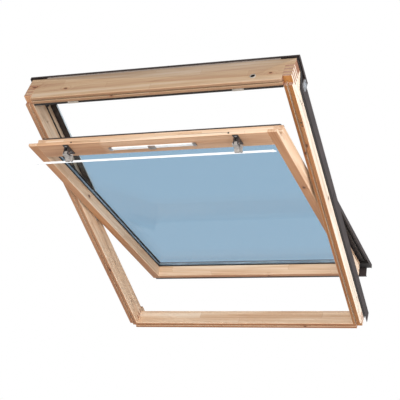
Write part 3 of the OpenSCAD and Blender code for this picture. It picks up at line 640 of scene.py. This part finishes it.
def plug(radius):
    """A low plug along z, 1 mm long, that stands 0.4 mm above 0."""
    bpy.ops.object.select_all(action="DESELECT")
    middle = (0, 0, -0.1 * MM)
    bpy.ops.mesh.primitive_cylinder_add(vertices=24, radius=radius * MM, depth=1.0 * MM, location=middle)
    piece = start_piece("plug_model")
    pick(piece, "EDGE", lambda e: all(v.co.z > 0 for v in e.verts))
    bpy.ops.mesh.bevel(offset=0.35 * MM, segments=3)
    pick(piece, "FACE", lambda f: f.normal.z > 0.99)
    bpy.ops.mesh.inset(thickness=0.35 * radius * MM)
    bpy.ops.mesh.extrude_region_move(TRANSFORM_OT_translate={"value": (0, 0, -0.25 * MM)})
    bpy.ops.object.mode_set(mode="OBJECT")
    return piece


plug_plastic = weathered("umber_polypropylene", "#1C1310", "#2C1F19", 6, 0.6, 0.5)
sash_up = SASH_PLACE.to_3x3() @ Vector((0, 0, 1))
frame_in = FRAME_OUT * -1
sash_places = [facing(on_sash(x, 38, SASH_TOP), sash_up) for x in (-227, 227)]
jamb_places = [facing(on_frame(x, 0, z), frame_in) for x in (-384, 384) for z in (342, 330)]
for name, body, radius, places in (("sash_plugs", "sash", 2.5, sash_places),
                                   ("jamb_plugs", "frame", 2.2, jamb_places)):
    model = plug(radius)
    finish_piece(copy_to(model, name, places), body, plug_plastic)
    bpy.data.objects.remove(model)
print("plugs placed")

# %% [markdown]
# ## Painted shade in the cable bore
# The bore through the top rail is lined with a black tube, a painted shade that makes its inside look dark.
# It is a tube: a cylinder whose ends are inset and whose inner faces are bridged.

# %% Bore lining of painted shade
BORE_X, BORE_DEPTH, LINING_LONG = 283.5, 21.0, 22.0
bpy.ops.object.select_all(action="DESELECT")
middle, long = (0, 0, -LINING_LONG / 2 * MM), LINING_LONG * MM
bpy.ops.mesh.primitive_cylinder_add(vertices=32, radius=5.9 * MM, depth=long, location=middle)
model = start_piece("lining_model")
pick(model, "FACE", lambda f: abs(f.normal.z) > 0.9)
bpy.ops.mesh.inset(thickness=1.1 * MM)
bpy.ops.mesh.bridge_edge_loops()
bpy.ops.mesh.select_all(action="SELECT")
bpy.ops.mesh.normals_make_consistent(inside=False)
bpy.ops.object.mode_set(mode="OBJECT")
frame_up = FRAME_PLACE.to_3x3() @ Vector((0, 0, 1))
mouth = facing(on_frame(BORE_X, BORE_DEPTH, HALF_HEIGHT), frame_up)
# painted shade: a black tube that darkens the inside of the bore
bore_shade = copy_to(model, "bore_painted_shade", [mouth])
bpy.data.objects.remove(model)
finish_piece(bore_shade, "frame", plug_plastic)
print("lining faces:", len(bore_shade.data.polygons))

# %% [markdown]
# ## Painted highlight on the edge of the upper covers
# The inner edge of each upper cover carries a thin pale trim, a painted highlight that shows as a bright line
# from the room. It is a long narrow block, bevelled along its edges and hollowed on the side that grips the
# sheet.

# %% Edge trims
TRIM_LOW, TRIM_HIGH = 22.0, 397.0
TRIM_X, TRIM_DEPTH = 349.35, 83.4
TRIM_WIDE, TRIM_THICK = 5.2, 1.0
# painted highlight: a pale trim along the inner edge of each upper cover
edge_highlight_plastic = weathered("pale_trim_painted_highlight", "#B9C4CB", "#D3DBE0", 40, 0.8, 0.25)
bpy.ops.object.select_all(action="DESELECT")
bpy.ops.mesh.primitive_cube_add(size=1, location=(0, 0, 0))
bpy.context.object.scale = (TRIM_THICK * MM, TRIM_WIDE * MM, (TRIM_HIGH - TRIM_LOW) * MM)
model = start_piece("trim_model")
pick(model, "FACE", lambda f: f.normal.x > 0.9)
bpy.ops.mesh.inset(thickness=0.8 * MM)
bpy.ops.mesh.extrude_region_move(TRANSFORM_OT_translate={"value": (-0.3 * MM, 0, 0)})
shown = (0.05 - TRIM_THICK / 2) * MM
pick(model, "EDGE", lambda e: e.calc_length() > 0.1 and all(v.co.x < shown for v in e.verts))
bpy.ops.mesh.bevel(offset=0.3 * MM, segments=2)
bpy.ops.object.mode_set(mode="OBJECT")
for name, side, turn in (("cover_edge_highlight_left", -1, 180), ("cover_edge_highlight_right", 1, 0)):
    middle = Matrix.Translation(Vector((side * TRIM_X, TRIM_DEPTH, (TRIM_LOW + TRIM_HIGH) / 2)) * MM)
    place = FRAME_PLACE @ middle @ Matrix.Rotation(math.radians(turn), 4, "Z")
    finish_piece(copy_to(model, name, [place]), "frame", edge_highlight_plastic)
bpy.data.objects.remove(model)
print("trims placed")

# %% [markdown]
# ## Light and floor
# A roof window is lit from outside and from the room. Four large soft lamps do that: one
# on the right, as a bright wall would, a weak warm one low near the viewer for the
# room-side faces, one level with the window in front, and one behind for the outside.
# The world has three backgrounds. The camera sees white, surfaces are lit by a dim pale
# grey, and a ray that has passed through glass meets an even pale blue, so that the
# pane can be told from the open gaps. The floor is a plain pale sheet well below, since
# the window hangs in its roof.

# %% World, lamps and floor
world = bpy.data.worlds.new("studio")
bpy.context.scene.world = world
world.use_nodes = True
tree = world.node_tree
tree.nodes.clear()
ray = add(tree, "LightPath")
seen = add(tree, "Background", {"Color": linear("#FFFFFF"), "Strength": 1.0})
felt = add(tree, "Background", {"Color": linear("#EEF1F4"), "Strength": 0.42})
beyond = add(tree, "Background", {"Color": linear("#ABC2D6"), "Strength": 1.02})
bpy.context.scene.view_settings.view_transform = "Standard"
through_glass, from_camera = ray.outputs["Is Transmission Ray"], ray.outputs["Is Camera Ray"]
soft = add(tree, "MixShader", {0: through_glass, 1: felt.outputs[0], 2: beyond.outputs[0]})
both = add(tree, "MixShader", {0: from_camera, 1: soft.outputs[0], 2: seen.outputs[0]})
tree.links.new(both.outputs[0], add(tree, "OutputWorld").inputs[0])

WINDOW_MIDDLE = on_frame(0, 0, 0)


def soft_lamp(name, at, size, power, colour="#FFFFFF"):
    """A square area lamp aimed at the middle of the window."""
    lamp = bpy.data.objects.new(name, bpy.data.lights.new(name, "AREA"))
    bpy.context.scene.collection.objects.link(lamp)
    lamp.location = at
    lamp.rotation_euler = (WINDOW_MIDDLE - Vector(at)).to_track_quat("-Z", "Y").to_euler()
    lamp.data.size = size
    lamp.data.energy = power
    lamp.data.color = linear(colour)[:3]
    lamp.visible_camera = False
    return lamp


soft_lamp("key_right", (4.2, -0.8, 0.9), 2.2, 195, "#F6FAFF")
soft_lamp("fill_front", (-0.6, -4.2, -0.7), 2.5, 12, "#FFEAD6")
soft_lamp("level_front", (0.6, -4.4, 0.9), 2.0, 150, "#FFFBF6")
soft_lamp("sky_back", (-0.8, 2.8, 3.2), 3.0, 70, "#F2F7FF")

bpy.ops.object.select_all(action="DESELECT")
bpy.ops.mesh.primitive_plane_add(size=9.0, location=(0, 0, -1.3))
floor = bpy.context.object
floor.name = "floor"
floor_skin, tree, skin = new_material("floor_paint")
skin.inputs["Base Color"].default_value = linear("#E9E8E6")
skin.inputs["Roughness"].default_value = 0.8
floor.data.materials.append(floor_skin)

# %% Finish
bpy.context.view_layer.update()
